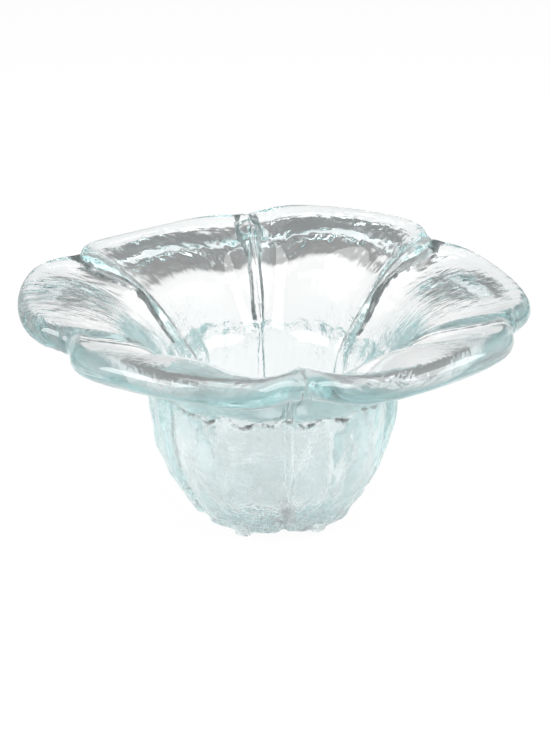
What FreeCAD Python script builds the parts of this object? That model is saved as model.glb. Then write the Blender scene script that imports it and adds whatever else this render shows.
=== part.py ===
import FreeCAD, Part
import math
import os

# A floating candle bowl of clear glass: an open flower of six petals on a short thick cup.
# Sizes are in millimetres. The cup's axis is Z, the feet stand on Z = 0, and +X runs along
# the middle of the first petal. Petals are numbered counterclockwise from there, and each
# crease takes the number of the petal that follows it.

petal_count = 6

# Heights, stacked from the feet to the rim
foot_height = 3.8
floor_thickness = 8.2
floor_rise = 3.0  # top share of the floor's thickness, where its round middle stands up inside the wall
cup_depth = 32.7
dish_rise = 25.0  # from the cup's mouth to the middle of the rim, at a crease

# Cup
mouth_radius = 25.6
cup_floor_radius = 20.0
throat_wall = 12.6  # glass between the mouth and the widest point of the neck
base_radius = 27.0
cup_fullness = 2.5  # power of the outer curve, higher for a fuller belly
flute_depth = 2.0  # how far the outside falls in between two lobes of the cup

# Dish
petal_reach = 75.0
notch_depth = 7.4
rim_thickness = 7.6
tip_lift = 1.4
valley_depth = 7.0  # how far the dish is drawn down in the valleys beside each crease
crease_width = 6.0  # measured along the rim, from the crease to the petal's even surface
crease_dip = 0.9
crease_groove_depth = 2.4

# Feet, one under each lobe
foot_length = 8.6
foot_width = 8.0
foot_tread_length = 4.4
foot_tread_width = 3.6
foot_setback = 2.0  # from the floor's lower edge in to the foot

# The glass was shaped hot, so no two petals are alike: each one's reach, the reach at the
# crease before it, the rise of its tip, and how far it leans towards the crease after it,
# against the sizes above. The creases also stray from even spacing, in degrees.
tip_reach_shares = (0.977, 1.001, 0.997, 0.989, 1.012, 1.015)
crease_reach_shares = (1.056, 0.986, 1.003, 0.985, 1.016, 0.997)
tip_lift_shares = (-1.2, 0.4, -2.6, 0.8, 1.9, 1.8)
lean_shares = (-0.045, 0.0, 0.0, 0.0, 0.0, 0.0)
crease_strays = (0.5, 0.7, 0.0, -0.7, -2.7, -1.1)

# How a petal's outline bulges between its creases, and where the sections are taken
lobe_squareness = 6.5
lobe_roundness = 3.5
section_shares = (-1.0, -0.95, -0.87, -0.76, -0.62, -0.4, 0.0, 0.4, 0.62, 0.76, 0.87, 0.95, 1.0)
cup_section_shares = (0.0, 0.12, 0.3, 0.6, 1.0)

# A petal's underside stays flat inside the rim and falls away late. Its curve has two middle
# poles: how far each lies on the way in to the neck, and how much of the valley they take
pole_shares = (1 / 3, 2 / 3)
pole_valley_share = 2 / 3

pitch = 360.0 / petal_count
floor_top = foot_height + floor_thickness
floor_ledge = floor_top - floor_rise
mouth_height = floor_top + cup_depth
rim_height = mouth_height + dish_rise
neck_radius = mouth_radius + throat_wall


def place(radius, angle, height):
    """A point at a radius and an angle round the axis, in degrees from +X."""
    turn = math.radians(angle)
    return FreeCAD.Vector(radius * math.cos(turn), radius * math.sin(turn), height)


def crease_angle(index):
    """The angle of the crease before a petal."""
    return (index - 0.5) * pitch + crease_strays[index % petal_count]


def petal_span(index):
    """The angle at a petal's middle, and the angle from there to its creases."""
    before = crease_angle(index)
    after = crease_angle(index + 1)
    return (before + after) / 2, (after - before) / 2


def cup_radius(height):
    """Outer radius of the cup over the middle of a lobe."""
    up = (height - foot_height) / (mouth_height - foot_height)
    return base_radius + (neck_radius - base_radius) * (1 - (1 - up) ** cup_fullness)


def lobe_radius(widest, half_span, off_middle):
    """Radius of the cup's outline at an angle from a lobe's middle: each lobe is one arc."""
    waist = widest - flute_depth
    centre = (widest**2 - waist**2) / (2 * (widest - waist * math.cos(math.radians(half_span))))
    turn = math.radians(off_middle)
    return centre * math.cos(turn) + math.sqrt((widest - centre) ** 2 - (centre * math.sin(turn)) ** 2)


def lobed_wire(height):
    """The cup's outer outline at a height: six arcs that meet in the flutes."""
    widest = cup_radius(height)
    waist = widest - flute_depth
    arcs = []
    for index in range(petal_count):
        middle, half_span = petal_span(index)
        start = place(waist, middle - half_span, height)
        end = place(waist, middle + half_span, height)
        arcs.append(Part.Arc(start, place(widest, middle, height), end).toShape())
    return Part.Wire(arcs)


def lobed_block(bottom, top):
    """The cup's outer form between two heights, solid."""
    heights = [bottom + (top - bottom) * share for share in cup_section_shares]
    return Part.makeLoft([lobed_wire(height) for height in heights], True, False)


def floor_middle():
    """The round middle of the floor, which a candle stands on."""
    return Part.makeCylinder(cup_floor_radius, floor_rise, place(0, 0, floor_ledge))


def cup_wall():
    """The lobed wall round the cup's hollow and the floor's raised middle, open at the mouth."""
    hollow = Part.makeCone(cup_floor_radius, mouth_radius, cup_depth, place(0, 0, floor_top))
    return lobed_block(floor_ledge, mouth_height).cut(hollow).cut(floor_middle())


def cup_floor():
    """The thick lobed floor: a ledge that the wall stands on, and the raised middle."""
    return lobed_block(foot_height, floor_ledge).fuse(floor_middle())


def foot_oval(angle, middle, length, width, height):
    """An oval across a foot, its length along the radius."""
    centre = place(middle, angle, height)
    outer = place(middle + length / 2, angle, height)
    side = centre + place(width / 2, angle + 90, 0)
    apexes = (outer, side) if length >= width else (side, outer)
    return Part.Wire([Part.Ellipse(*apexes, centre).toShape()])


def foot(index):
    """A nub under a lobe, tapering to a small flat tread."""
    angle = petal_span(index)[0]
    middle = base_radius - foot_setback - foot_length / 2
    tread = foot_oval(angle, middle, foot_tread_length, foot_tread_width, 0)
    top = foot_oval(angle, middle, foot_length, foot_width, foot_height)
    return Part.makeLoft([tread, top], True, False)


def petal_section(index, across):
    """A petal's profile in an upright plane through the axis.

    across runs from -1 at the crease before the petal to 1 at the crease after it.
    """
    centre_angle, half_span = petal_span(index)
    off_middle = across * half_span
    angle = centre_angle + off_middle
    arch = 1 - across**2
    valley = valley_depth * 4 * arch * across**2

    crease_reach = petal_reach - notch_depth
    before = crease_reach * crease_reach_shares[index]
    after = crease_reach * crease_reach_shares[(index + 1) % petal_count]
    notch_reach = before + (after - before) * (1 + across) / 2
    tip_reach = petal_reach * (tip_reach_shares[index] + lean_shares[index] * across * arch)
    bulge = (1 - abs(across) ** lobe_squareness) ** lobe_roundness
    reach = notch_reach + (tip_reach - notch_reach) * bulge

    half = rim_thickness / 2
    middle = rim_height + tip_lift * tip_lift_shares[index] * arch
    from_crease = (1 - abs(across)) * math.radians(half_span) * crease_reach
    near_crease = max(0, 1 - from_crease / crease_width) ** 2
    top = middle + half - crease_dip * near_crease
    bottom = middle - half + crease_groove_depth * near_crease
    rim = reach - half
    neck = lobe_radius(neck_radius, half_span, off_middle)

    inner_foot = place(mouth_radius, angle, mouth_height)
    inner_turn = place((mouth_radius + rim) / 2, angle, top - valley)
    upper_edge = place(rim, angle, top)
    nose = place(reach, angle, (top + bottom) / 2)
    lower_edge = place(rim, angle, bottom)
    pole_height = bottom - valley * pole_valley_share
    outer_poles = [place(rim + (neck - rim) * share, angle, pole_height) for share in pole_shares]
    outer_foot = place(neck, angle, mouth_height)

    inner_curve = Part.BezierCurve()
    inner_curve.setPoles([inner_foot, inner_turn, upper_edge])
    outer_curve = Part.BezierCurve()
    outer_curve.setPoles([lower_edge, *outer_poles, outer_foot])
    return Part.Wire([
        inner_curve.toShape(),
        Part.Arc(upper_edge, nose, lower_edge).toShape(),
        outer_curve.toShape(),
        Part.makeLine(outer_foot, inner_foot),
    ])


def petal(index):
    """One petal, from the crease before it to the crease after it."""
    return Part.makeLoft([petal_section(index, across) for across in section_shares], True, False)


pieces = {"cup_wall": cup_wall(), "cup_floor": cup_floor()}
for number in range(petal_count):
    pieces["petal_%d" % (number + 1)] = petal(number)
    pieces["foot_%d" % (number + 1)] = foot(number)

os.makedirs("parts", exist_ok=True)
for name, shape in pieces.items():
    shape.exportStep("parts/%s.step" % name)
    print("%-9s valid %s, %d solid, %.0f mm3" % (name, shape.isValid(), len(shape.Solids), shape.Volume))
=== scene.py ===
import math

import bpy
import numpy as np
from mathutils import Matrix, Vector, noise


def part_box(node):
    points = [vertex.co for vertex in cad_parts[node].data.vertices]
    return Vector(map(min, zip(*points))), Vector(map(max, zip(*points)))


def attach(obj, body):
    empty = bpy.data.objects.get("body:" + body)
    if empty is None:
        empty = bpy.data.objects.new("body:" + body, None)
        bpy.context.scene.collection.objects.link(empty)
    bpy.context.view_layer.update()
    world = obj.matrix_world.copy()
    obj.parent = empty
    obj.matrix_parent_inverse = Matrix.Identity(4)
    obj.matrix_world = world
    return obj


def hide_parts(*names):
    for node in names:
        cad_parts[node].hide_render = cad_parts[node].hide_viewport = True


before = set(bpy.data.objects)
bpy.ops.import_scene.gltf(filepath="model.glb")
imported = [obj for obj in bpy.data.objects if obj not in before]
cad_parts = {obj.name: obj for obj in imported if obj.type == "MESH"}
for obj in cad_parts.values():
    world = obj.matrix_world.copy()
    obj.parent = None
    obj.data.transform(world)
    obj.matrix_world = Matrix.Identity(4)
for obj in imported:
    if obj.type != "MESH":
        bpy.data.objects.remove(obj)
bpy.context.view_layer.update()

bl_info = {
    "name": "Floating Candle Bowl",
    "version": (1, 0, 0),
    "blender": (4, 5, 0),
    "location": "View3D > Sidebar > Candle Bowl",
    "description": "Builds a flower-shaped candle bowl of hand-pressed glass round its solid model",
    "category": "Object",
}

MM = 0.001
PETALS = 6
PITCH = 2 * math.pi / PETALS

# Each petal's own reach, lift and lean, and each crease's own reach and stray, as in the solid model
TIP_REACH_SHARES = np.array((0.977, 1.001, 0.997, 0.989, 1.012, 1.015))
CREASE_REACH_SHARES = np.array((1.056, 0.986, 1.003, 0.985, 1.016, 0.997))
TIP_LIFT_SHARES = np.array((-1.2, 0.4, -2.6, 0.8, 1.9, 1.8))
LEAN_SHARES = np.array((-0.045, 0.0, 0.0, 0.0, 0.0, 0.0))
CREASE_STRAYS = np.radians((0.5, 0.7, 0.0, -0.7, -2.7, -1.1))

# How deeply each petal's underside was hammered, streaked and hollowed, and how frosty it was left
HAMMER_SHARES = np.array((0.6, 1.0, 0.8, 0.8, 0.0, 0.0))
STREAK_SHARES = np.array((0.7, 0.25, 0.25, 1.0, 0.0, 0.0))
HOLLOW_SHARES = np.array((0.5, 1.1, 1.0, 0.6, 0.0, 0.0))
FROST_SHARES = np.array((0.1, 0.0, 0.0, 0.1, 0.65, 0.65))

# How wide the groove under each crease is
GROOVE_SHARES = np.array((0.8, 0.6, 1.0, 0.6, 0.8, 1.0))

# Bands of painted shade, grey, along the creases: the crease, how far counterclockwise of
# it the band's middle lies, and half the band's width, both in millimetres at the rim
PAINTED_SHADE_BANDS = (
    (0, -1.5, 0.4), (1, -0.1, 2.3), (2, -2.1, 1.0), (2, 2.1, 1.0),
    (3, 0.1, 2.3), (4, 1.5, 0.4), (5, -1.2, 0.3), (5, 1.2, 0.3))

# The same painted shade on top, along the middle of a crease in the dish: the crease, and half the
# band's width in millimetres at the rim
DISH_BANDS = ((1, 2.0), (3, 2.0))

# The same painted shade in the cup's flutes: the crease, half the band's width, and the heights
# that it lies between, all in millimetres
FLUTE_BANDS = ((4, 1.6, 18, 44), (5, 3.0, 4, 24), (0, 1.4, 12, 36))

# Heights that the solid model fixes
FLOOR_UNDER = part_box("cup_floor")[0][2]
FLOOR_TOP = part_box("cup_floor")[1][2]
MOUTH_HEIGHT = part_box("cup_wall")[1][2]

# Powers of the curves: how broad a petal's tip is, how it rounds off into the notches, and how the
# cup swells from its base
TIP_POWER = 6.5
NOTCH_POWER = 3.5
CUP_POWER = 2.5

# The part of the profile that is the cup's outside
CUP_OUTSIDE = ("cup", "edge", "base")

# Patterns are read round a circle of this radius. There they have their named width, and they are
# wider further out and narrower further in, as marks are that were drawn out with the glass.
UNROLLED_RADIUS = 60 * MM

# Pattern sizes so large that the pattern hardly changes that way: round the bowl, and along its profile
ALL_ROUND = 400 * MM
ALL_ALONG = 1000 * MM

# Grain that is too fine for the mesh: drawn streaks, the grain of the chilled and of the icy glass,
# and the specks and crumbs of painted shade. Each is as coarse as it needs to be to show.
FINE_STREAK_WIDTH = 1 * MM
FINE_STREAK_LENGTH = 5 * MM
FINE_STREAK_HEIGHT = 0.22 * MM
GRAIN_SIZE = 1.4 * MM
CHILLED_GRAIN_HEIGHT = 0.2 * MM
ICY_GRAIN_HEIGHT = 0.8 * MM
SPECK_SIZE = 1.4 * MM
CRUMB_SIZE = 0.9 * MM


def length(name, description, default_mm):
    """A size property whose default is given in millimetres."""
    return bpy.props.FloatProperty(
        name=name, description=description, default=default_mm * MM, min=0.0,
        subtype="DISTANCE", unit="LENGTH", precision=4)


def linear(code):
    """An sRGB hex value as a linear colour."""
    channels = [int(code[i:i + 2], 16) / 255 for i in (1, 3, 5)]
    return tuple(c / 12.92 if c <= 0.04045 else ((c + 0.055) / 1.055) ** 2.4 for c in channels)


class BowlShape(bpy.types.PropertyGroup):
    """Sizes of the glass."""
    dish_rise: length("Dish rise", "From the cup's mouth to the middle of the rim", 25.0)
    mouth_radius: length("Mouth radius", "Radius of the cup's mouth", 25.6)
    floor_radius: length("Floor radius", "Radius of the cup's flat floor", 20.0)
    floor_fillet: length("Floor fillet", "Rounding between the cup's floor and wall", 3.0)
    throat_wall: length("Throat wall", "Glass between the mouth and the neck", 12.6)
    base_radius: length("Base radius", "Outer radius of the cup at its base", 27.0)
    base_rounding: length("Base rounding", "Rounding of the cup's lower edge", 1.6)
    flute_depth: length("Flute depth", "How far the cup falls in between two lobes", 2.0)
    petal_reach: length("Petal reach", "From the axis to a petal's tip", 75.0)
    notch_depth: length("Notch depth", "How far the rim comes in between two petals", 7.4)
    rim_thickness: length("Rim thickness", "Thickness of the rounded rim", 7.6)
    tip_lift: length("Tip lift", "Unit of the rise of a petal's tip", 1.4)
    valley_depth: length("Valley depth", "How far the dish is drawn down beside each crease", 7.0)
    under_power: bpy.props.FloatProperty(
        name="Underside curve", description="Power of the curve from the rim down to the neck",
        default=5.0, min=1.0)
    bead_hollow: length("Bead hollow", "Depth of the hollow under the petal, inside its thick rim", 0.9)
    crease_dip: length("Crease dip", "Depth of the shallow line over each crease", 0.6)
    groove_depth: length("Groove depth", "Depth of the crease grooves inside the rim", 0.6)
    groove_width: length("Groove width", "Half the width of a crease groove under the rim", 2.6)
    groove_wall: bpy.props.FloatProperty(
        name="Groove wall", description="Share of a groove's half width that its wall takes",
        default=0.6, min=0.1, max=1.0, subtype="FACTOR")
    foot_length: length("Foot length", "A foot's length along the radius, where it leaves the cup", 8.6)
    foot_width: length("Foot width", "A foot's width, where it leaves the cup", 8.0)
    foot_setback: length("Foot setback", "From the cup's lower edge in to a foot", 1.4)


class GlassLook(bpy.types.PropertyGroup):
    """Colour and surface of the glass."""
    tint: bpy.props.FloatVectorProperty(
        name="Tint", description="What a long way through the glass leaves of white light",
        default=linear("#7CD8DA"), subtype="COLOR", size=3, min=0.0, max=1.0)
    density: bpy.props.FloatProperty(
        name="Density", description="Absorption for each metre of glass", default=6.0, min=0.0)
    ior: bpy.props.FloatProperty(name="IOR", description="Soda-lime glass", default=1.5, min=1.0, max=2.0)
    # Grey of the painted shade along the creases, at the seam and in specks on the icy cup
    painted_shade_grey: bpy.props.FloatVectorProperty(
        name="Scale grey", description="Grey of the scale that the tools left on the glass",
        default=linear("#8A9090"), subtype="COLOR", size=3, min=0.0, max=1.0)
    dimple_size: length("Dimple size", "Size of the hammered dimples under the rim", 2.2)
    dimple_depth: length("Dimple depth", "Height of those dimples", 0.17)
    streak_width: length("Streak width", "Width of the drawn streaks under the petals", 2.0)
    streak_length: length("Streak length", "Length of those streaks, towards the axis", 9.0)
    streak_depth: length("Streak depth", "Height of those streaks", 0.06)
    chill_size: length("Chill mark size", "Size of the chilled facets on the cup", 3.6)
    chill_depth: length("Chill mark depth", "Height of the chilled facets", 0.5)
    seam_depth: length("Seam depth", "Depth of the ragged seam between the dish and the cup", 1.8)


class StageLook(bpy.types.PropertyGroup):
    """Floor, room and camera."""
    azimuth: bpy.props.FloatProperty(
        name="Azimuth", description="Where the camera stands round the bowl",
        default=math.radians(-98.2), subtype="ANGLE")
    elevation: bpy.props.FloatProperty(
        name="Elevation", description="How steeply the camera looks down",
        default=math.radians(24.88), subtype="ANGLE")
    roll: bpy.props.FloatProperty(
        name="Roll", description="Tilt of the camera", default=math.radians(0.3), subtype="ANGLE")
    distance: length("Distance", "From the camera to what it looks at", 399.8)
    sight_height: length("Sight height", "Height of the point that the camera looks at", 47.1)
    lens: bpy.props.FloatProperty(
        name="Lens", description="Focal length on a 36 mm sensor", default=65.6, min=1.0, unit="CAMERA")
    card: length("Card", "Radius of the white card under the bowl", 280.0)
    card_shift: length("Card shift", "How far the card's middle lies to the right of the bowl", 90.0)
    surround: bpy.props.FloatProperty(
        name="Surround", description="Brightness of the grey room round the card", default=0.3, min=0.0)
    left_wall: bpy.props.FloatProperty(
        name="Left wall", description="Brightness of the room's left wall", default=0.5, min=0.0)
    right_wall: bpy.props.FloatProperty(
        name="Right wall", description="Brightness of the room's right wall", default=0.95, min=0.0)


def smooth(value):
    """Eases a value that runs from 0 to 1."""
    value = np.clip(value, 0, 1)
    return value * value * (3 - 2 * value)


def crease_angles():
    """The angle of the crease before each petal."""
    return (np.arange(PETALS) - 0.5) * PITCH + CREASE_STRAYS


def seam_strength(angle):
    """How rough the neck was left, and how dark the painted shade along its seam: 1 under the fifth and sixth
    petals, 0 under the second and third.
    """
    return smooth(0.5 - np.sin(angle))


class Columns:
    """Where each column of the mesh lies: its petal, its place across it, and its angle.

    The columns crowd together beside the creases, where the narrow grooves need them.
    """

    def __init__(self, each=115, crowding=0.75):
        even = (np.arange(each) + 0.5) / each * 2 - 1
        inward = 1 - np.abs(even)
        across = np.sign(even) * (1 - crowding * inward**1.6 - (1 - crowding) * inward)
        creases = crease_angles()
        after = np.append(creases[1:], creases[0] + 2 * math.pi)
        self.petal = np.repeat(np.arange(PETALS), each)
        self.across = np.tile(across, PETALS)
        self.half_span = (after - creases)[self.petal] / 2
        self.off_middle = self.across * self.half_span
        self.angle = (after + creases)[self.petal] / 2 + self.off_middle
        self.crease = (self.petal + (self.across > 0)) % PETALS
        self.from_crease = (self.half_span - np.abs(self.off_middle)) * np.where(self.across > 0, -1, 1)
        self.count = len(self.angle)


def outer_radius(shape, height, columns):
    """The cup's lobed outer radius at a height: each lobe is one arc."""
    neck = shape.mouth_radius + shape.throat_wall
    up = (height - FLOOR_UNDER) / (MOUTH_HEIGHT - FLOOR_UNDER)
    widest = shape.base_radius + (neck - shape.base_radius) * (1 - (1 - up) ** CUP_POWER)
    waist = widest - shape.flute_depth
    centre = (widest**2 - waist**2) / (2 * (widest - waist * np.cos(columns.half_span)))
    turn = columns.off_middle
    return centre * np.cos(turn) + np.sqrt((widest - centre) ** 2 - (centre * np.sin(turn)) ** 2)


def pair(radius, height):
    """Radius and height for every column."""
    radius, height = np.broadcast_arrays(np.asarray(radius, float), np.asarray(height, float))
    return np.stack([radius, height], -1)


def arc(centre, radius_out, radius_up, start, end, steps):
    """Points along an elliptic arc in the radius and height plane, without the last point."""
    turn = (start + (end - start) * np.arange(steps) / steps)[:, None]
    return centre + pair(radius_out * np.cos(turn), radius_up * np.sin(turn))


def petal_profile(shape, columns):
    """Each column's rim and valley: radius of the rim's edge, heights over and under it, valley depth."""
    across = columns.across
    arch = 1 - across**2
    crease_reach = shape.petal_reach - shape.notch_depth
    before = crease_reach * CREASE_REACH_SHARES[columns.petal]
    after = crease_reach * CREASE_REACH_SHARES[(columns.petal + 1) % PETALS]
    notch = before + (after - before) * (1 + across) / 2
    tip = shape.petal_reach * (TIP_REACH_SHARES[columns.petal] + LEAN_SHARES[columns.petal] * across * arch)
    reach = notch + (tip - notch) * (1 - np.abs(across) ** TIP_POWER) ** NOTCH_POWER
    half = shape.rim_thickness / 2
    middle = MOUTH_HEIGHT + shape.dish_rise + shape.tip_lift * TIP_LIFT_SHARES[columns.petal] * arch
    return reach - half, middle + half, middle - half, shape.valley_depth * 4 * arch * across**2


def glass_profile(shape, columns):
    """The bowl's profile at every column, as rows of radius and height.

    The rows run from the middle of the cup's floor, up its wall, over the dish and the rim, and
    down the outside to the middle of the underside. Each row's region has a name. The rows crowd
    together at the rim, at the seam under the dish and at the feet.
    """
    rim, top, bottom, valley = petal_profile(shape, columns)
    ones = np.ones(columns.count)
    rows = {}

    fillet = shape.floor_fillet
    flat = shape.floor_radius - fillet
    rows["floor"] = pair(np.array((0.3, 0.6, 0.8, 0.93))[:, None] * flat * ones, FLOOR_TOP)
    rows["fillet"] = arc(pair(flat * ones, FLOOR_TOP + fillet), fillet, fillet, -math.pi / 2, 0, 4)
    up = np.linspace(0, 1, 8, endpoint=False)[:, None]
    rows["wall"] = pair(
        (shape.floor_radius + (shape.mouth_radius - shape.floor_radius) * up) * ones,
        FLOOR_TOP + fillet + (MOUTH_HEIGHT - FLOOR_TOP - fillet) * up)

    t = np.linspace(0, 1, 20, endpoint=False)[:, None]
    rows["dish"] = pair(
        shape.mouth_radius + (rim - shape.mouth_radius) * t,
        top - (top - MOUTH_HEIGHT) * (1 - t) ** 2 - 2 * t * (1 - t) * valley)
    half = (top - bottom) / 2
    rows["rim"] = arc(pair(rim, (top + bottom) / 2), half, half, math.pi / 2, -math.pi / 2, 14)

    # Under the petals, a hollow lies inside the thick rim and ends at this share of the way to the neck
    hollow_end_share = 0.6
    t = np.concatenate([
        np.linspace(0, 0.9, 25, endpoint=False), np.linspace(0.9, 1, 10, endpoint=False)])[:, None]
    neck = outer_radius(shape, MOUTH_HEIGHT, columns)
    fall = (bottom - MOUTH_HEIGHT) * t**shape.under_power + 2 * t * (1 - t) * valley
    swell = np.sin(math.pi * np.clip(t / hollow_end_share, 0, 1)) ** 2
    hollow = shape.bead_hollow * HOLLOW_SHARES[columns.petal] * swell
    rows["under"] = pair(rim + (neck - rim) * t, bottom - fall + hollow)

    rounding = shape.base_rounding
    foot_of_wall = FLOOR_UNDER + rounding
    near_neck = MOUTH_HEIGHT - 3.5 * MM
    heights = np.concatenate([
        np.linspace(MOUTH_HEIGHT, near_neck, 9, endpoint=False),
        np.linspace(near_neck, foot_of_wall, 29, endpoint=False)])
    rows["cup"] = np.stack([pair(outer_radius(shape, height, columns), height) for height in heights])
    edge = outer_radius(shape, foot_of_wall, columns) - rounding
    rows["edge"] = arc(pair(edge, foot_of_wall), rounding, rounding, 0, -math.pi / 2, 3)
    inside_feet_share = 0.56
    inward = np.concatenate([
        np.linspace(1, inside_feet_share, 12, endpoint=False),
        np.linspace(inside_feet_share, 0, 5, endpoint=False)])
    rows["base"] = pair(inward[:, None] * edge, FLOOR_UNDER)
    return rows


def noise_at(points, scales):
    """Smooth noise at every point of a grid, its features as large as the scales."""
    flat = (points / scales).reshape(-1, 3)
    return np.array([noise.noise(Vector(place)) for place in flat]).reshape(points.shape[:-1])


def grid_normals(points):
    """Outward normals of a grid that is closed round its columns."""
    along = np.gradient(points, axis=0)
    beside = np.roll(points, -1, 1) - np.roll(points, 1, 1)
    normals = np.cross(along, beside)
    return normals / np.linalg.norm(normals, axis=-1, keepdims=True)


class Relief:
    """The hand-made surface: how far its marks lift the glass, and where its finishes and its painted shade
    lie.

    Each mark is a lift along the normals of the smooth profile, and each finish or painted shade a
    strength that the material reads. Both have a value for every point of the grid.
    """

    def __init__(self, shape, look):
        self.shape = shape
        self.look = look
        self.columns = Columns()
        rows = glass_profile(shape, self.columns)
        self.region = np.concatenate([[name] * len(points) for name, points in rows.items()])
        profile = np.concatenate(list(rows.values()))
        ways = np.stack([np.cos(self.columns.angle), np.sin(self.columns.angle)], -1)
        self.radius = profile[..., 0]
        self.points = np.concatenate([self.radius[..., None] * ways, profile[..., 1:]], -1)
        steps = np.linalg.norm(np.diff(profile, axis=0, prepend=profile[:1]), axis=-1)
        self.run = np.cumsum(steps, axis=0)
        ring = np.broadcast_to(UNROLLED_RADIUS * ways, (*self.run.shape, 2))
        self.unrolled = np.concatenate([ring, self.run[..., None]], -1)

    def rows_in(self, *names):
        """A column of ones for the rows of some regions, and noughts for the rest."""
        return np.isin(self.region, names)[:, None].astype(float)

    def past(self, name):
        """How far each point lies past the first row of a region, along the profile."""
        return self.run - self.run[np.argmax(self.region == name)]

    def pattern(self, round_size, along_size, shift=0.0):
        """Noise on the unrolled surface, its features so large round the bowl and along its profile.

        The shift reads the noise at another place, so that no two patterns are alike.
        """
        return noise_at(self.unrolled + shift, (round_size, round_size, along_size))

    def creases(self):
        """Grooves under the creases, wide at the rim and narrow further in, with ragged walls."""
        shape = self.shape
        past_rim = self.past("under")
        wander = self.pattern(ALL_ROUND, 9 * MM) * 0.7 * MM
        ragged = 1 + 0.35 * self.pattern(ALL_ROUND, 2.2 * MM, shift=7.3)
        narrowing = 1 - 0.42 * smooth(past_rim / (20 * MM))
        side = np.abs(self.columns.from_crease * self.radius + wander)
        width = shape.groove_width * GROOVE_SHARES[self.columns.crease] * narrowing * ragged
        depth = shape.groove_depth * (1 + 2.5 * np.exp(-np.maximum(past_rim, 0) / (2.5 * MM)))
        wall = smooth((width - side) / (shape.groove_wall * width))
        under = np.clip(past_rim / (3 * MM) + 1, 0, 1) * self.rows_in("rim", "under")
        return -depth * wall * (under + self.rows_in("cup", "edge"))

    def crease_lines(self):
        """The shallow line that each crease leaves in the dish."""
        side = np.abs(self.columns.from_crease * self.radius)
        return -self.shape.crease_dip * smooth(1 - side / (2.2 * MM)) * self.rows_in("dish", "rim")

    def below_seam(self):
        """How far each point lies below the ragged line where the dish was joined to the cup."""
        wander = self.pattern(7 * MM, ALL_ALONG) * 2.2 * MM
        wander += self.pattern(2 * MM, ALL_ALONG, shift=5.7) * 0.7 * MM
        return self.past("cup") - wander

    def seam(self):
        """The fold along that line, with the cup set in a little under it."""
        patchy = np.clip(0.7 + 1.2 * self.pattern(4 * MM, ALL_ALONG, shift=3.1), 0, 1.3)
        below = self.below_seam()
        fold = np.exp(-(below / (0.65 * MM)) ** 2)
        ledge = 0.6 * smooth(below / (0.8 * MM) + 0.5) * np.exp(-np.maximum(below, 0) / (3 * MM))
        depth = self.look.seam_depth * (0.12 + 0.88 * seam_strength(self.columns.angle))
        return -depth * (patchy * fold + ledge) * self.rows_in("under", "cup")

    def seam_painted_shade(self):
        """Painted shade, grey, along the seam, most where the neck was left rough."""
        line = np.exp(-(self.below_seam() / (1.1 * MM)) ** 2) * self.rows_in("under", "cup")
        return line * seam_strength(self.columns.angle)

    def band(self, crease, middle, half, softness):
        """A band beside a crease: 1 inside it and 0 outside, with a soft edge."""
        off_band = np.abs(self.columns.from_crease * self.radius - middle)
        return smooth((half - off_band) / softness + 0.5) * (self.columns.crease == crease)

    def crease_painted_shade(self):
        """Painted shade, grey, in bands along the creases: under the petals, on top, and in the cup's flutes.
        """
        crisp = 0.3 * MM
        soft = 1.6 * MM
        ragged = 1 + 0.6 * self.pattern(ALL_ROUND, 1.6 * MM, shift=29.3)
        bands = np.zeros_like(self.run)

        narrowing = 1 - 0.5 * smooth(self.past("under") / (20 * MM))
        below_rim = smooth((self.past("under") + 7 * MM) / MM) * self.rows_in("rim", "under")
        for crease, middle, half in PAINTED_SHADE_BANDS:
            band = self.band(crease, middle * MM * narrowing, half * MM * narrowing * ragged, crisp)
            bands = np.maximum(bands, band * below_rim)

        tapering = self.radius / self.shape.petal_reach
        on_top = 0.9 * (1 - smooth((self.past("rim") - 4 * MM) / (2 * MM))) * self.rows_in("dish", "rim")
        for crease, half in DISH_BANDS:
            band = self.band(crease, 0, half * MM * tapering * ragged, crisp)
            bands = np.maximum(bands, band * on_top)

        height = self.points[..., 2] / MM
        for crease, half, low, high in FLUTE_BANDS:
            band = self.band(crease, 0, half * MM * ragged, soft) * smooth((height - low) / 4)
            band *= smooth((high - height) / 8) * 0.7 * self.rows_in("cup")
            bands = np.maximum(bands, band)
        return bands

    def scale(self):
        """Where grey shade is painted, in patches: in the seam and along the creases."""
        patchy = np.clip(0.9 + 1.4 * self.pattern(3 * MM, 2 * MM, shift=17.3), 0, 1)
        return np.maximum(self.seam_painted_shade() * patchy, self.crease_painted_shade() * (0.5 + 0.5 * patchy))

    def calm(self):
        """How far from a crease and from the rim the hammered surface has taken hold, from 0 to 1."""
        from_crease = np.abs(self.columns.from_crease) * self.radius
        from_rim = self.past("under") + 5.5 * MM
        return smooth((from_crease - 2 * MM) / (4 * MM)) * smooth(from_rim / (3 * MM))

    def dimples(self):
        """Hammered dimples under the petals, strongest towards the rim."""
        look = self.look
        size = look.dimple_size
        fade = 1 - 0.8 * smooth((self.past("under") - 12 * MM) / (14 * MM))
        marks = self.pattern(size, size * 0.7, shift=11.9)
        marks += 0.6 * self.pattern(size / 2, size * 0.35, shift=13.1)
        hammered = self.calm() * HAMMER_SHARES[self.columns.petal] * self.rows_in("rim", "under")
        return look.dimple_depth * 2 * marks * fade * hammered

    def streaked(self):
        """How strongly each underside is streaked, all over or, where it was hammered, near the rim."""
        near_rim = 1 - smooth((self.past("under") - 6 * MM) / (8 * MM))
        hammered = HAMMER_SHARES[self.columns.petal] * near_rim
        strength = np.maximum(STREAK_SHARES[self.columns.petal], hammered)
        return strength * self.calm() * self.rows_in("under")

    def streaks(self):
        """Ripples drawn out towards the axis under the petals, fading out beside each crease."""
        look = self.look
        return look.streak_depth * 2 * self.pattern(look.streak_width, look.streak_length) * self.streaked()

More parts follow.
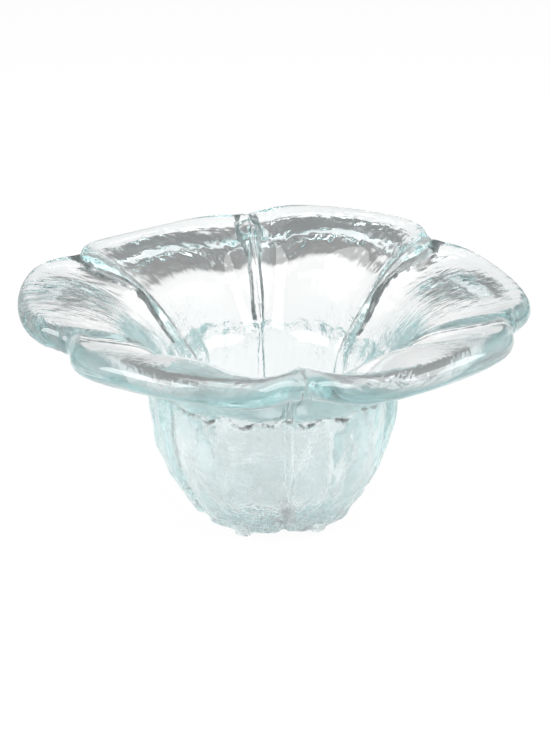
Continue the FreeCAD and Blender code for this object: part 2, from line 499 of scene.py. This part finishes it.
    def chill(self):
        """How frosty the outside is: all of the cup, the undersides above it, and some petals whole.

        It is 1 low on the cup, and most at the neck.
        """
        neck_frost = 1.7
        uneven = self.pattern(7 * MM, 7 * MM, shift=23.9) * 0.5
        above_cup = smooth(1.1 + self.past("cup") / (14 * MM) + uneven)
        whole = FROST_SHARES[self.columns.petal] * smooth((self.past("under") - 1 * MM) / (4 * MM))
        under = np.maximum(neck_frost * above_cup, whole)
        cup = 1 + (neck_frost - 1) * smooth((self.points[..., 2] / MOUTH_HEIGHT - 0.6) / 0.3)
        return under * self.rows_in("under") + cup * self.rows_in(*CUP_OUTSIDE)

    def ice(self):
        """How icy the cup's outside is: wholly low down, and hardly at all from half its height up."""
        ice_top_share = 0.48
        ice_fade_share = 0.26
        uneven = noise_at(self.points, (9 * MM,) * 3) * 0.3
        below_top = ice_top_share * MOUTH_HEIGHT - self.points[..., 2]
        return smooth(below_top / (ice_fade_share * MOUTH_HEIGHT) + uneven) * self.rows_in(*CUP_OUTSIDE)

    def chill_marks(self):
        """Uneven facets of the outside, deepest where the cup is icy and faint under the petals."""
        look = self.look
        size = look.chill_size
        low = 0.4 + 0.6 * self.ice()
        tall = noise_at(self.points, (4.5 * MM, 4.5 * MM, 12 * MM)) * 0.7 * MM
        facets = noise_at(self.points, (size,) * 3) + 0.5 * noise_at(self.points, (size / 2,) * 3)
        where = self.rows_in(*CUP_OUTSIDE) + 0.3 * self.rows_in("under")
        return (tall + look.chill_depth * low * facets) * self.chill() * where

    def feet(self):
        """Six nubs under the lobes, each with a small flat tread: 1 on a tread, and 0 off the feet."""
        shape = self.shape
        side_share = 0.35
        centre = shape.base_radius - shape.foot_setback - shape.foot_length / 2
        along = (self.radius - centre) / (shape.foot_length / 2)
        aside = self.radius * self.columns.off_middle / (shape.foot_width / 2)
        return smooth((1 - np.hypot(along, aside)) / side_share) * self.rows_in("base", "edge")

    def build(self):
        """The finished grid of points, with every mark in it and the feet drawn down to the ground."""
        lift = self.creases() + self.crease_lines() + self.seam() + self.dimples() + self.streaks()
        feet = self.feet()
        lift += self.chill_marks() * (1 - feet)
        points = self.points + grid_normals(self.points) * lift[..., None]
        points[..., 2] -= points[..., 2] * feet
        points[..., 2] = np.maximum(points[..., 2], 0)
        return points


def mesh_from_grid(name, points, weights):
    """A closed mesh from a grid, with a point at the middle of its first and last rows."""
    rows, columns = points.shape[:2]
    verts = np.concatenate([points.reshape(-1, 3), points[:1].mean(1), points[-1:].mean(1)])
    index = np.arange(rows * columns).reshape(rows, columns)
    beside = np.roll(index, -1, 1)
    quads = np.stack([index[1:], beside[1:], beside[:-1], index[:-1]], -1).reshape(-1, 4).tolist()
    floor = [(rows * columns, a, b) for a, b in zip(index[0], beside[0])]
    seat = [(rows * columns + 1, b, a) for a, b in zip(index[-1], beside[-1])]
    mesh = bpy.data.meshes.new(name)
    mesh.from_pydata(verts.tolist(), [], quads + floor + seat)
    for key, values in weights.items():
        spread = np.broadcast_to(values, (rows, columns)).ravel()
        spread = np.concatenate([spread, spread[:1], spread[-1:]])
        layer = mesh.attributes.new(key, "FLOAT", "POINT")
        layer.data.foreach_set("value", spread.astype(np.float32))
    mesh.update()
    mesh.shade_smooth()
    return mesh


def add_node(tree, kind, inputs=None, **settings):
    """Adds a node, sets its properties, and sets or links its inputs."""
    node = tree.nodes.new(kind)
    for key, value in settings.items():
        setattr(node, key, value)
    for key, value in (inputs or {}).items():
        if isinstance(value, bpy.types.NodeSocket):
            tree.links.new(value, node.inputs[key])
        else:
            node.inputs[key].default_value = value
    return node


def new_tree(data):
    """An empty node tree on a material or world."""
    data.use_nodes = True
    data.node_tree.nodes.clear()
    return data.node_tree


def fine_streaks(tree, place):
    """Noise drawn out towards the axis: its width lies round the bowl, its length along radius and height."""
    flat = add_node(tree, "ShaderNodeVectorMath", {
        0: place, 1: (1, 1, 0)}, operation="MULTIPLY").outputs["Vector"]
    way = add_node(tree, "ShaderNodeVectorMath", {0: flat}, operation="NORMALIZE").outputs["Vector"]
    radius = add_node(tree, "ShaderNodeVectorMath", {0: flat}, operation="LENGTH").outputs["Value"]
    height = add_node(tree, "ShaderNodeSeparateXYZ", {"Vector": place}).outputs["Z"]
    run = add_node(tree, "ShaderNodeMath", {0: radius, 1: height}, operation="ADD").outputs["Value"]
    rise = add_node(tree, "ShaderNodeCombineXYZ", {"Z": run}).outputs["Vector"]
    stretched = add_node(tree, "ShaderNodeVectorMath", {
        0: rise, 1: (0, 0, 1 / FINE_STREAK_LENGTH)}, operation="MULTIPLY").outputs["Vector"]
    widths = UNROLLED_RADIUS / FINE_STREAK_WIDTH
    drawn = add_node(tree, "ShaderNodeVectorMath", {
        0: way, 1: (widths, widths, 0), 2: stretched}, operation="MULTIPLY_ADD").outputs["Vector"]
    return add_node(tree, "ShaderNodeTexNoise", {"Vector": drawn, "Scale": 1.0, "Detail": 2.0}).outputs["Fac"]


def painted_shade_cover(tree, place, icy):
    """How much of the glass is covered by painted shade: its bands, broken into crumbs, and dark specks in
    the ice.
    """
    painted_bands = add_node(tree, "ShaderNodeAttribute", attribute_name="painted_shade_amount").outputs["Fac"]
    specks = add_node(tree, "ShaderNodeTexNoise", {
        "Vector": place, "Scale": 1 / SPECK_SIZE, "Detail": 2.0}).outputs["Fac"]
    specks = add_node(tree, "ShaderNodeMapRange", {
        "Value": specks, "From Min": 0.52, "From Max": 0.62, "To Min": 0.0, "To Max": 0.8}).outputs["Result"]
    specks = add_node(tree, "ShaderNodeMath", {0: specks, 1: icy}, operation="MULTIPLY").outputs["Value"]
    crumbs = add_node(tree, "ShaderNodeTexNoise", {
        "Vector": place, "Scale": 1 / CRUMB_SIZE, "Detail": 2.0}).outputs["Fac"]
    bare = add_node(tree, "ShaderNodeMath", {0: crumbs, 1: -1.5}, operation="MULTIPLY").outputs["Value"]
    bands = add_node(tree, "ShaderNodeMath", {
        0: painted_bands, 1: 2.0, 2: bare}, operation="MULTIPLY_ADD", use_clamp=True).outputs["Value"]
    return add_node(tree, "ShaderNodeMath", {0: specks, 1: bands}, operation="MAXIMUM").outputs["Value"]


def pressed_glass(look, name):
    """Soda-lime glass, pressed hot: polished inside, drawn and chilled outside.

    It gives the eye clear, faintly aqua glass whose outside breaks up what lies behind it, with
    grey lines of painted shade along the creases and the seam.
    """
    material = bpy.data.materials.new(name)
    tree = new_tree(material)
    place = add_node(tree, "ShaderNodeTexCoord").outputs["Object"]
    streaked = add_node(tree, "ShaderNodeAttribute", attribute_name="streaked").outputs["Fac"]
    chilled = add_node(tree, "ShaderNodeAttribute", attribute_name="chilled").outputs["Fac"]
    icy = add_node(tree, "ShaderNodeAttribute", attribute_name="icy").outputs["Fac"]

    # Drawn streaks under the petals, and the grain of the chilled outside, deepest where it is icy
    streaks = fine_streaks(tree, place)
    streak_height = add_node(tree, "ShaderNodeMath", {
        0: streaked, 1: FINE_STREAK_HEIGHT}, operation="MULTIPLY").outputs["Value"]
    grain = add_node(tree, "ShaderNodeTexNoise", {
        "Vector": place, "Scale": 1 / GRAIN_SIZE, "Detail": 3.0}).outputs["Fac"]
    grain_height = add_node(tree, "ShaderNodeMath", {
        0: icy, 1: ICY_GRAIN_HEIGHT, 2: CHILLED_GRAIN_HEIGHT}, operation="MULTIPLY_ADD").outputs["Value"]
    grain_height = add_node(tree, "ShaderNodeMath", {
        0: chilled, 1: grain_height}, operation="MULTIPLY").outputs["Value"]
    relief = add_node(tree, "ShaderNodeMath", {
        0: streaks, 1: streak_height}, operation="MULTIPLY").outputs["Value"]
    relief = add_node(tree, "ShaderNodeMath", {
        0: grain, 1: grain_height, 2: relief}, operation="MULTIPLY_ADD").outputs["Value"]
    bump = add_node(tree, "ShaderNodeBump", {
        "Height": relief, "Strength": 1.0, "Distance": 1.0}).outputs["Normal"]

    # The chilled glass is rough, but the ice is clear between its grains
    frosted = add_node(tree, "ShaderNodeMath", {
        0: icy, 1: -0.8, 2: chilled}, operation="MULTIPLY_ADD").outputs["Value"]
    roughness = add_node(tree, "ShaderNodeMath", {
        0: frosted, 1: 0.14, 2: 0.015}, operation="MULTIPLY_ADD").outputs["Value"]

    # Painted shade turns the glass grey, and lets hardly any light through
    painted_shade_amount = painted_shade_cover(tree, place, icy)
    colour = add_node(tree, "ShaderNodeMix", {
        0: painted_shade_amount, 6: (*linear("#FFFFFF"), 1), 7: (*look.painted_shade_grey, 1)}, data_type="RGBA").outputs[2]
    passing = add_node(tree, "ShaderNodeMath", {
        0: painted_shade_amount, 1: -0.9, 2: 1.0}, operation="MULTIPLY_ADD").outputs["Value"]
    surface = add_node(tree, "ShaderNodeBsdfPrincipled", {
        "Normal": bump, "Base Color": colour, "Roughness": roughness, "IOR": look.ior,
        "Transmission Weight": passing}).outputs["BSDF"]
    volume = add_node(tree, "ShaderNodeVolumeAbsorption", {
        "Color": (*look.tint, 1), "Density": look.density}).outputs["Volume"]
    add_node(tree, "ShaderNodeOutputMaterial", {"Surface": surface, "Volume": volume})
    return material


def white_card(stage, name):
    """Matte white card, lit evenly.

    It gives the eye a ground with no edge. The glass shows it white near the bowl, and beyond that
    as grey as the room.
    """
    # The card's edge fades into the room over this share of its radius, inwards and outwards
    fade_share = 0.2

    # How much of what is seen of the card, straight or through the glass, is its own even glow
    glow_share = 0.95

    material = bpy.data.materials.new(name)
    tree = new_tree(material)
    path = add_node(tree, "ShaderNodeLightPath").outputs
    place = add_node(tree, "ShaderNodeNewGeometry").outputs["Position"]
    reach = add_node(tree, "ShaderNodeVectorMath", {
        0: place, 1: (stage.card_shift, 0, 0)}, operation="DISTANCE").outputs["Value"]
    card = add_node(tree, "ShaderNodeMapRange", {
        "Value": reach, "From Min": stage.card * (1 - fade_share), "From Max": stage.card * (1 + fade_share),
        "To Min": 1.0, "To Max": stage.surround}, interpolation_type="SMOOTHSTEP").outputs["Result"]
    shown = add_node(tree, "ShaderNodeMath", {
        0: card, 1: path["Is Camera Ray"]}, operation="MAXIMUM").outputs["Value"]
    through = add_node(tree, "ShaderNodeMath", {
        0: path["Is Glossy Ray"], 1: path["Is Transmission Ray"]}, operation="MAXIMUM").outputs["Value"]
    seen = add_node(tree, "ShaderNodeMath", {
        0: through, 1: path["Is Camera Ray"]}, operation="MAXIMUM").outputs["Value"]
    share = add_node(tree, "ShaderNodeMath", {
        0: seen, 1: glow_share}, operation="MULTIPLY").outputs["Value"]
    matte = add_node(tree, "ShaderNodeBsdfDiffuse", {"Color": (*linear("#F3F3F3"), 1)}).outputs["BSDF"]
    glow = add_node(tree, "ShaderNodeEmission", {"Strength": shown}).outputs["Emission"]
    mix = add_node(tree, "ShaderNodeMixShader", {0: share, 1: matte, 2: glow}).outputs["Shader"]
    add_node(tree, "ShaderNodeOutputMaterial", {"Surface": mix})
    return material


def grey_room(stage, name):
    """A grey room whose left and right walls are paler. The camera itself sees white."""
    world = bpy.data.worlds.new(name)
    tree = new_tree(world)
    path = add_node(tree, "ShaderNodeLightPath").outputs
    way = add_node(tree, "ShaderNodeTexCoord").outputs["Generated"]
    side = add_node(tree, "ShaderNodeSeparateXYZ", {"Vector": way}).outputs["X"]

    # How far to its side a direction points where each wall starts, and where it is at its palest
    wall_start = 0.35
    wall_palest = 0.75
    walls = []
    for sign, brightness in ((-1, stage.left_wall), (1, stage.right_wall)):
        walls.append(add_node(tree, "ShaderNodeMapRange", {
            "Value": side, "From Min": wall_start * sign, "From Max": wall_palest * sign,
            "To Min": stage.surround, "To Max": brightness},
            interpolation_type="SMOOTHSTEP").outputs["Result"])
    around = add_node(tree, "ShaderNodeMath", {
        0: walls[0], 1: walls[1]}, operation="MAXIMUM").outputs["Value"]
    strength = add_node(tree, "ShaderNodeMath", {
        0: path["Is Camera Ray"], 1: around}, operation="MAXIMUM").outputs["Value"]
    back = add_node(tree, "ShaderNodeBackground", {
        "Color": (*linear("#FFFFFF"), 1), "Strength": strength}).outputs["Background"]
    add_node(tree, "ShaderNodeOutputWorld", {"Surface": back})
    return world


class BOWL_OT_glass(bpy.types.Operator):
    """Build the glass body of the bowl"""
    bl_idname = "bowl.glass"
    bl_label = "Glass Body"

    def execute(self, context):
        scene = context.scene
        relief = Relief(scene.bowl_shape, scene.bowl_glass)
        weights = {
            "streaked": relief.streaked(),
            "chilled": relief.chill(),
            "icy": relief.ice(),
            # Painted shade, grey, along the creases and the seam
            "painted_shade_amount": relief.scale(),
        }
        mesh = mesh_from_grid("glass_bowl", relief.build(), weights)
        mesh.materials.append(pressed_glass(scene.bowl_glass, "pressed_soda_lime_glass"))
        body = bpy.data.objects.new("glass_bowl", mesh)
        scene.collection.objects.link(body)
        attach(body, "root")
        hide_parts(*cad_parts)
        return {"FINISHED"}


class BOWL_OT_stage(bpy.types.Operator):
    """Set the floor, the room, the light and the camera"""
    bl_idname = "bowl.stage"
    bl_label = "Stage"

    def execute(self, context):
        scene = context.scene
        stage = scene.bowl_stage
        self.floor(scene, stage)
        scene.world = grey_room(stage, "studio")
        self.lamps(scene)
        self.camera(scene, stage)
        scene.view_settings.view_transform = "Standard"

        # Light crosses and leaves the ribbed glass many times before it gets through
        scene.cycles.max_bounces = 32
        scene.cycles.glossy_bounces = 24
        scene.cycles.transmission_bounces = 24
        return {"FINISHED"}

    def floor(self, scene, stage):
        """The card that the bowl stands on, wide enough to fill every view."""
        half = 3.0
        corners = [(-half, -half, 0), (half, -half, 0), (half, half, 0), (-half, half, 0)]
        mesh = bpy.data.meshes.new("floor")
        mesh.from_pydata(corners, [], [(0, 1, 2, 3)])
        mesh.materials.append(white_card(stage, "white_card"))
        floor = bpy.data.objects.new("floor", mesh)
        scene.collection.objects.link(floor)

    def lamps(self, scene):
        """Softboxes that face the bowl: the place, width and height in metres, and the watts of each."""
        for name, place, width, height, power in (
                ("softbox_top", (0.0, -0.1, 1.0), 0.6, 0.6, 5.0),
                ("softbox_left", (-0.8, -0.35, 0.6), 0.8, 0.5, 9.0),
                ("softbox_right", (0.8, -0.3, 0.6), 0.8, 0.5, 7.0)):
            light = bpy.data.lights.new(name, "AREA")
            light.shape = "RECTANGLE"
            light.size = width
            light.size_y = height
            light.energy = power
            lamp = bpy.data.objects.new(name, light)
            lamp.location = place
            lamp.rotation_euler = Vector(place).to_track_quat("Z", "Y").to_euler()
            scene.collection.objects.link(lamp)

    def camera(self, scene, stage):
        """The camera, which looks at a point a little in front of the bowl's axis."""
        in_front = 2.0 * MM
        data = bpy.data.cameras.new("camera")
        data.lens = stage.lens
        data.sensor_width = 36
        data.sensor_fit = "AUTO"
        data.clip_start = 0.01
        camera = bpy.data.objects.new("camera", data)
        sight = Vector((0, -in_front, stage.sight_height))
        back = Vector((
            math.cos(stage.elevation) * math.cos(stage.azimuth),
            math.cos(stage.elevation) * math.sin(stage.azimuth),
            math.sin(stage.elevation)))
        turn = back.to_track_quat("Z", "Y").to_matrix().to_4x4() @ Matrix.Rotation(stage.roll, 4, "Z")
        camera.matrix_world = Matrix.Translation(sight + back * stage.distance) @ turn
        scene.collection.objects.link(camera)
        scene.camera = camera


class BOWL_PT_panel(bpy.types.Panel):
    """Lists the bowl's sizes and looks, and what builds it"""
    bl_label = "Candle Bowl"
    bl_idname = "BOWL_PT_panel"
    bl_space_type = "VIEW_3D"
    bl_region_type = "UI"
    bl_category = "Candle Bowl"

    def draw(self, context):
        for group in (context.scene.bowl_shape, context.scene.bowl_glass, context.scene.bowl_stage):
            for key in group.__annotations__:
                self.layout.prop(group, key)
        self.layout.operator(BOWL_OT_stage.bl_idname)
        self.layout.operator(BOWL_OT_glass.bl_idname)


CLASSES = (BowlShape, GlassLook, StageLook, BOWL_OT_glass, BOWL_OT_stage, BOWL_PT_panel)


def register():
    for cls in CLASSES:
        bpy.utils.register_class(cls)
    bpy.types.Scene.bowl_shape = bpy.props.PointerProperty(type=BowlShape)
    bpy.types.Scene.bowl_glass = bpy.props.PointerProperty(type=GlassLook)
    bpy.types.Scene.bowl_stage = bpy.props.PointerProperty(type=StageLook)


def unregister():
    del bpy.types.Scene.bowl_shape
    del bpy.types.Scene.bowl_glass
    del bpy.types.Scene.bowl_stage
    for cls in reversed(CLASSES):
        bpy.utils.unregister_class(cls)


def main():
    register()
    bpy.ops.bowl.stage()
    bpy.ops.bowl.glass()


if __name__ == "__main__":
    main()
